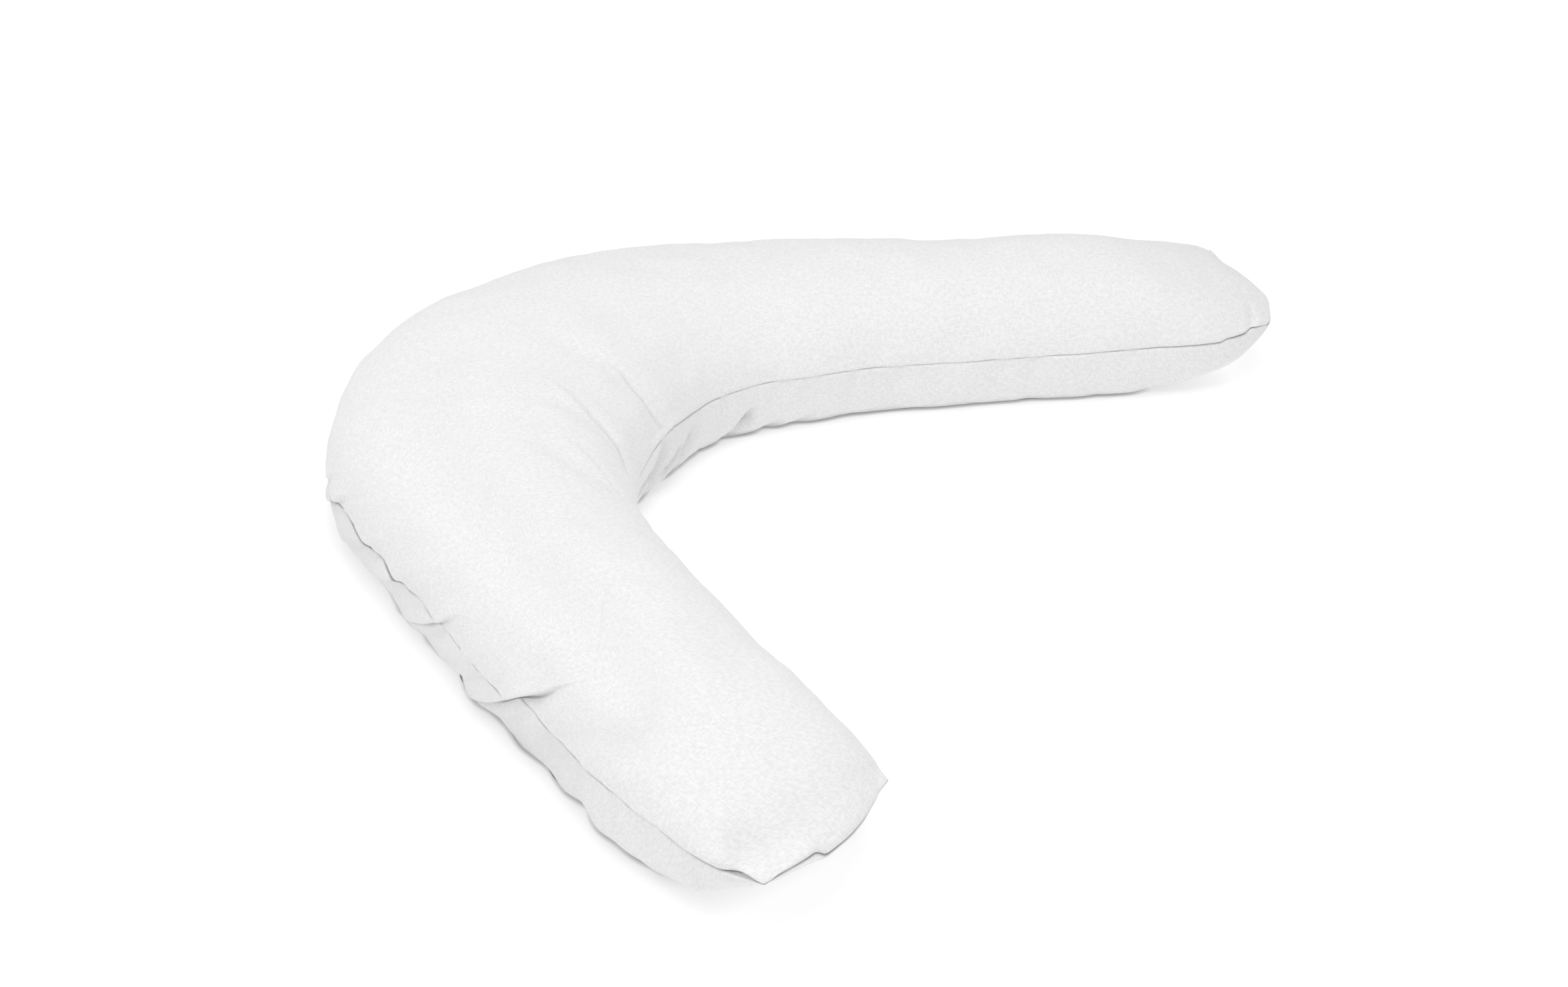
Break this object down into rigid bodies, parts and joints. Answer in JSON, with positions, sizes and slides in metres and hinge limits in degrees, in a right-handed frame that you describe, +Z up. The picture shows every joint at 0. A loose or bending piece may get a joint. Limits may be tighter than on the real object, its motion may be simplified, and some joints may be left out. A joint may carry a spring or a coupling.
{
  "type": "body pillow",
  "caption": "Long white cotton body pillow bent like a boomerang: two matching panels joined by one plain perimeter seam, soft filled, with pointed corners at both ends.",
  "frame": {"origin": "bottom centre of the bounding box: on the floor, midway between the pillow's extreme points in X and in Y", "axes": "+Z up from the floor; X and Y lie on the floor; the near arm runs from the bend mostly along -Y, and the far arm runs from the bend mostly along +X"},
  "size_m": [1.1003, 1.2626, 0.175],
  "materials": {
    "white_cotton": "matt, finely woven white cotton"
  },
  "bodies": {
    "root": {"pillow": "white_cotton"}
  },
  "joints": []
}
